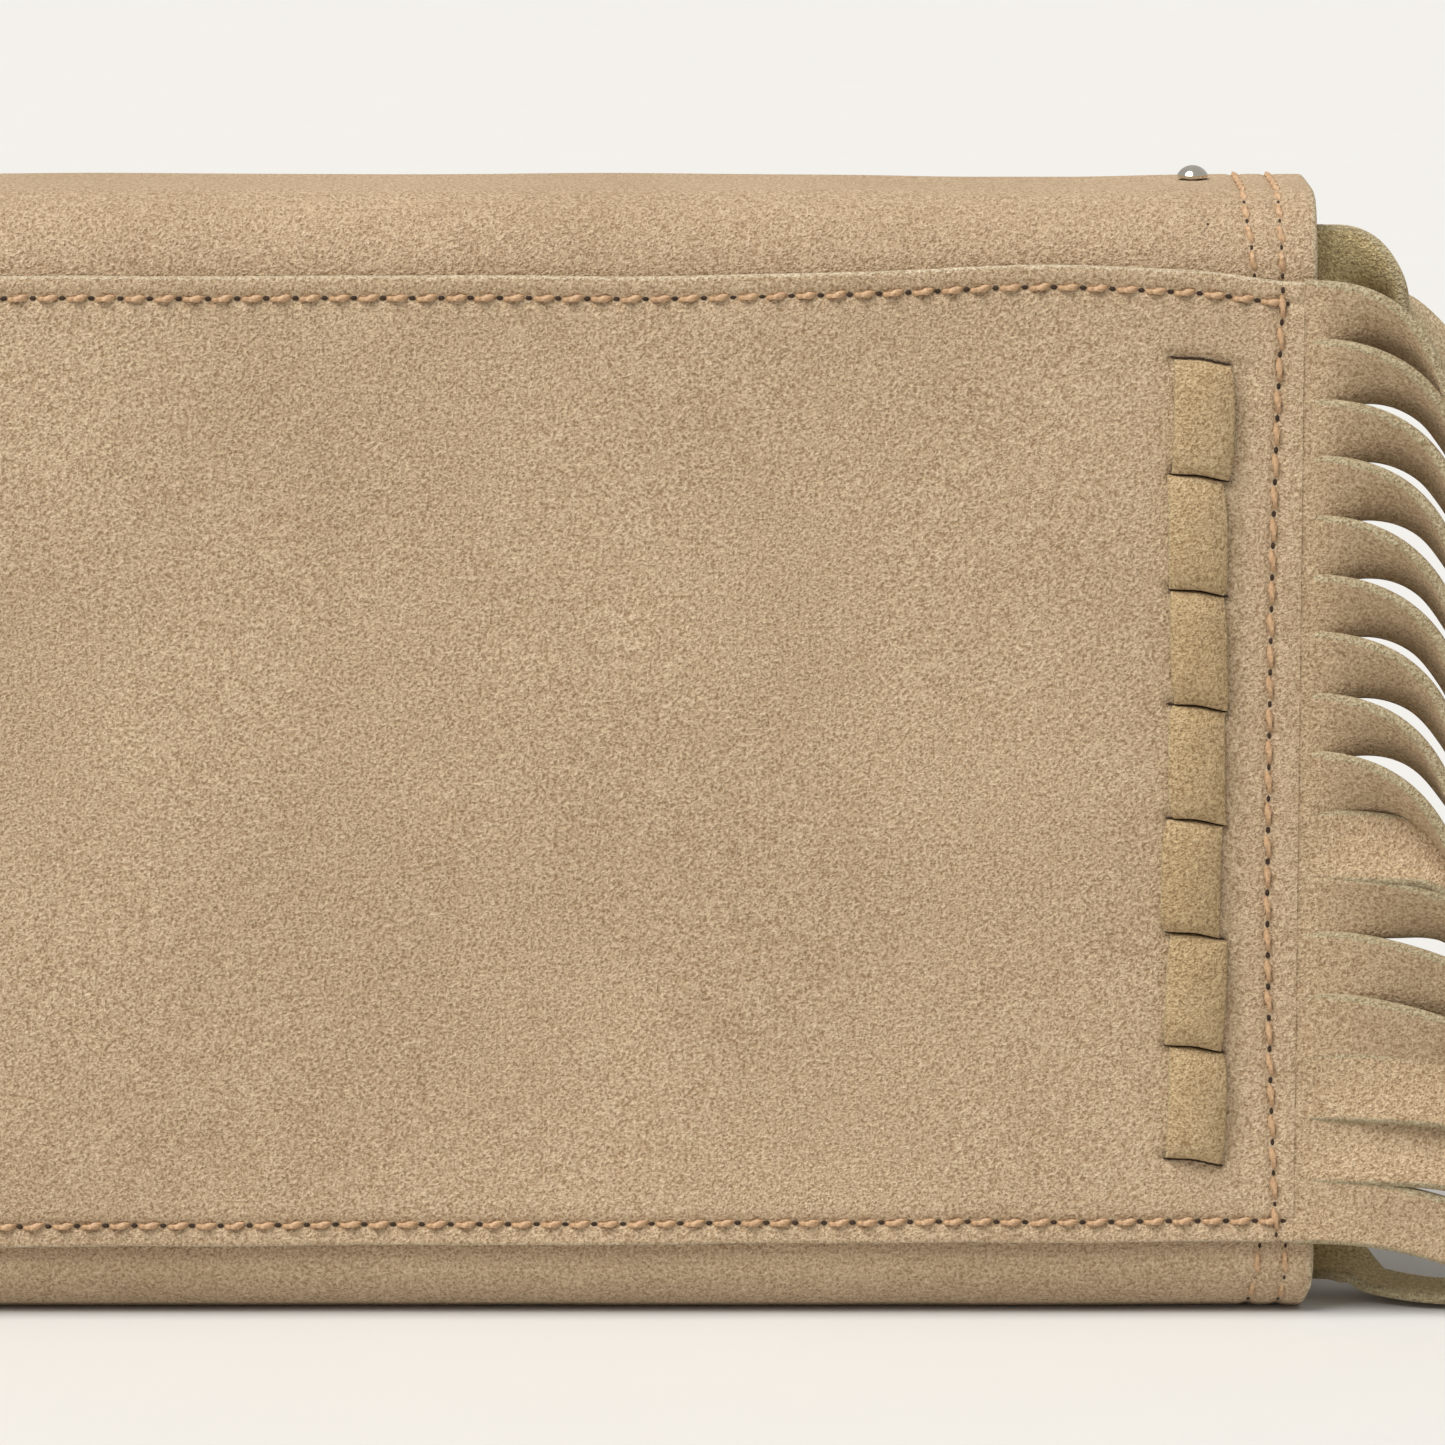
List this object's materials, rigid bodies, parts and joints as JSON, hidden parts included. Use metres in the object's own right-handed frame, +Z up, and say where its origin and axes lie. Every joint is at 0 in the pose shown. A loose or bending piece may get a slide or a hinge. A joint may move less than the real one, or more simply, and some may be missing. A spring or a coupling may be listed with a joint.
{
  "type": "wristlet wallet",
  "caption": "Fold-over suede wristlet wallet with a zipped inner pocket, card slots, a laced back panel cut into a fringe at one end, and a wrist strap loop",
  "frame": {"origin": "centre of the flat of the bottom fold, on the surface that the wallet stands on", "axes": "+X along the body towards the fringe and strap end, +Y towards the flap's front, +Z up"},
  "size_m": [0.294, 0.0366, 0.1233],
  "materials": {
    "suede_body": "suede, fine nap",
    "suede_panel": "suede, fine nap",
    "suede_lace": "suede, fine nap",
    "suede_strap": "suede, fine nap",
    "suede_gusset": "suede, fine nap",
    "lining": "cotton twill",
    "card_leather": "smooth, matt",
    "board": "fibreboard, matt",
    "zipper_tape": "woven tape",
    "zipper_brass": "antiqued, satin",
    "snap_steel": "satin",
    "rivet_nickel": "polished nickel"
  },
  "bodies": {
    "body": {"back_lacing": "suede_lace", "back_panel": "suede_panel", "base_stiffener": "board", "body_lining": "lining", "card_panel_1": "card_leather", "card_panel_2": "card_leather", "card_panel_3": "card_leather", "gusset_fringe_end": "suede_gusset", "gusset_plain_end": "suede_gusset", "outer_wrap": "suede_body", "slip_pocket_panel": "card_leather", "snap_socket": "snap_steel", "snap_socket_washer": "snap_steel", "strap_anchor_bottom": "suede_strap", "strap_anchor_top": "suede_strap", "zip_pocket_bag": "lining", "zipper_bottom_stop": "zipper_brass", "zipper_tape_back": "zipper_tape", "zipper_tape_front": "zipper_tape", "zipper_teeth_back": "zipper_brass", "zipper_teeth_front": "zipper_brass", "zipper_top_stops": "zipper_brass"},
    "flap": {"flap_outer": "suede_body", "flap_lining": "lining", "front_lacing": "suede_lace", "rivet_top": "rivet_nickel", "rivet_front": "rivet_nickel", "rivet_burr_top": "rivet_nickel", "rivet_burr_front": "rivet_nickel", "snap_stud": "snap_steel", "snap_stud_washer": "snap_steel"},
    "slider": {"zipper_slider": "zipper_brass"},
    "puller": {"zip_puller": "zipper_brass"},
    "fringe": {"fringe_strip_01": "suede_panel", "fringe_strip_02": "suede_panel", "fringe_strip_03": "suede_panel", "fringe_strip_04": "suede_panel", "fringe_strip_05": "suede_panel", "fringe_strip_06": "suede_panel", "fringe_strip_07": "suede_panel", "fringe_strip_08": "suede_panel", "fringe_strip_09": "suede_panel", "fringe_strip_10": "suede_panel", "fringe_strip_11": "suede_panel", "fringe_strip_12": "suede_panel", "fringe_strip_13": "suede_panel", "fringe_strip_14": "suede_panel", "fringe_strip_15": "suede_panel", "fringe_strip_16": "suede_panel"},
    "strap": {"wrist_strap": "suede_strap"}
  },
  "joints": [
    {"name": "flap_hinge", "type": "hinge", "parent": "body", "child": "flap", "pos_m": [0, -0.0149, 0.1134], "axis": [1, 0, 0], "range_deg": [0, 150]},
    {"name": "zipper_slide", "type": "slide", "parent": "body", "child": "slider", "axis": [1, 0, 0], "range_m": [-0.158, 0]},
    {"name": "puller_swing", "type": "hinge", "parent": "slider", "child": "puller", "pos_m": [0.08, 0, 0.1003], "axis": [0, 1, 0], "range_deg": [0, 180]},
    {"name": "fringe_swing", "type": "hinge", "parent": "body", "child": "fringe", "pos_m": [0.1015, -0.0149, 0.06], "axis": [0, 0, 1], "range_deg": [-75, 0]},
    {"name": "strap_swing", "type": "hinge", "parent": "body", "child": "strap", "pos_m": [0.1024, 0, 0.06], "axis": [0, 0, 1], "range_deg": [0, 55]}
  ]
}
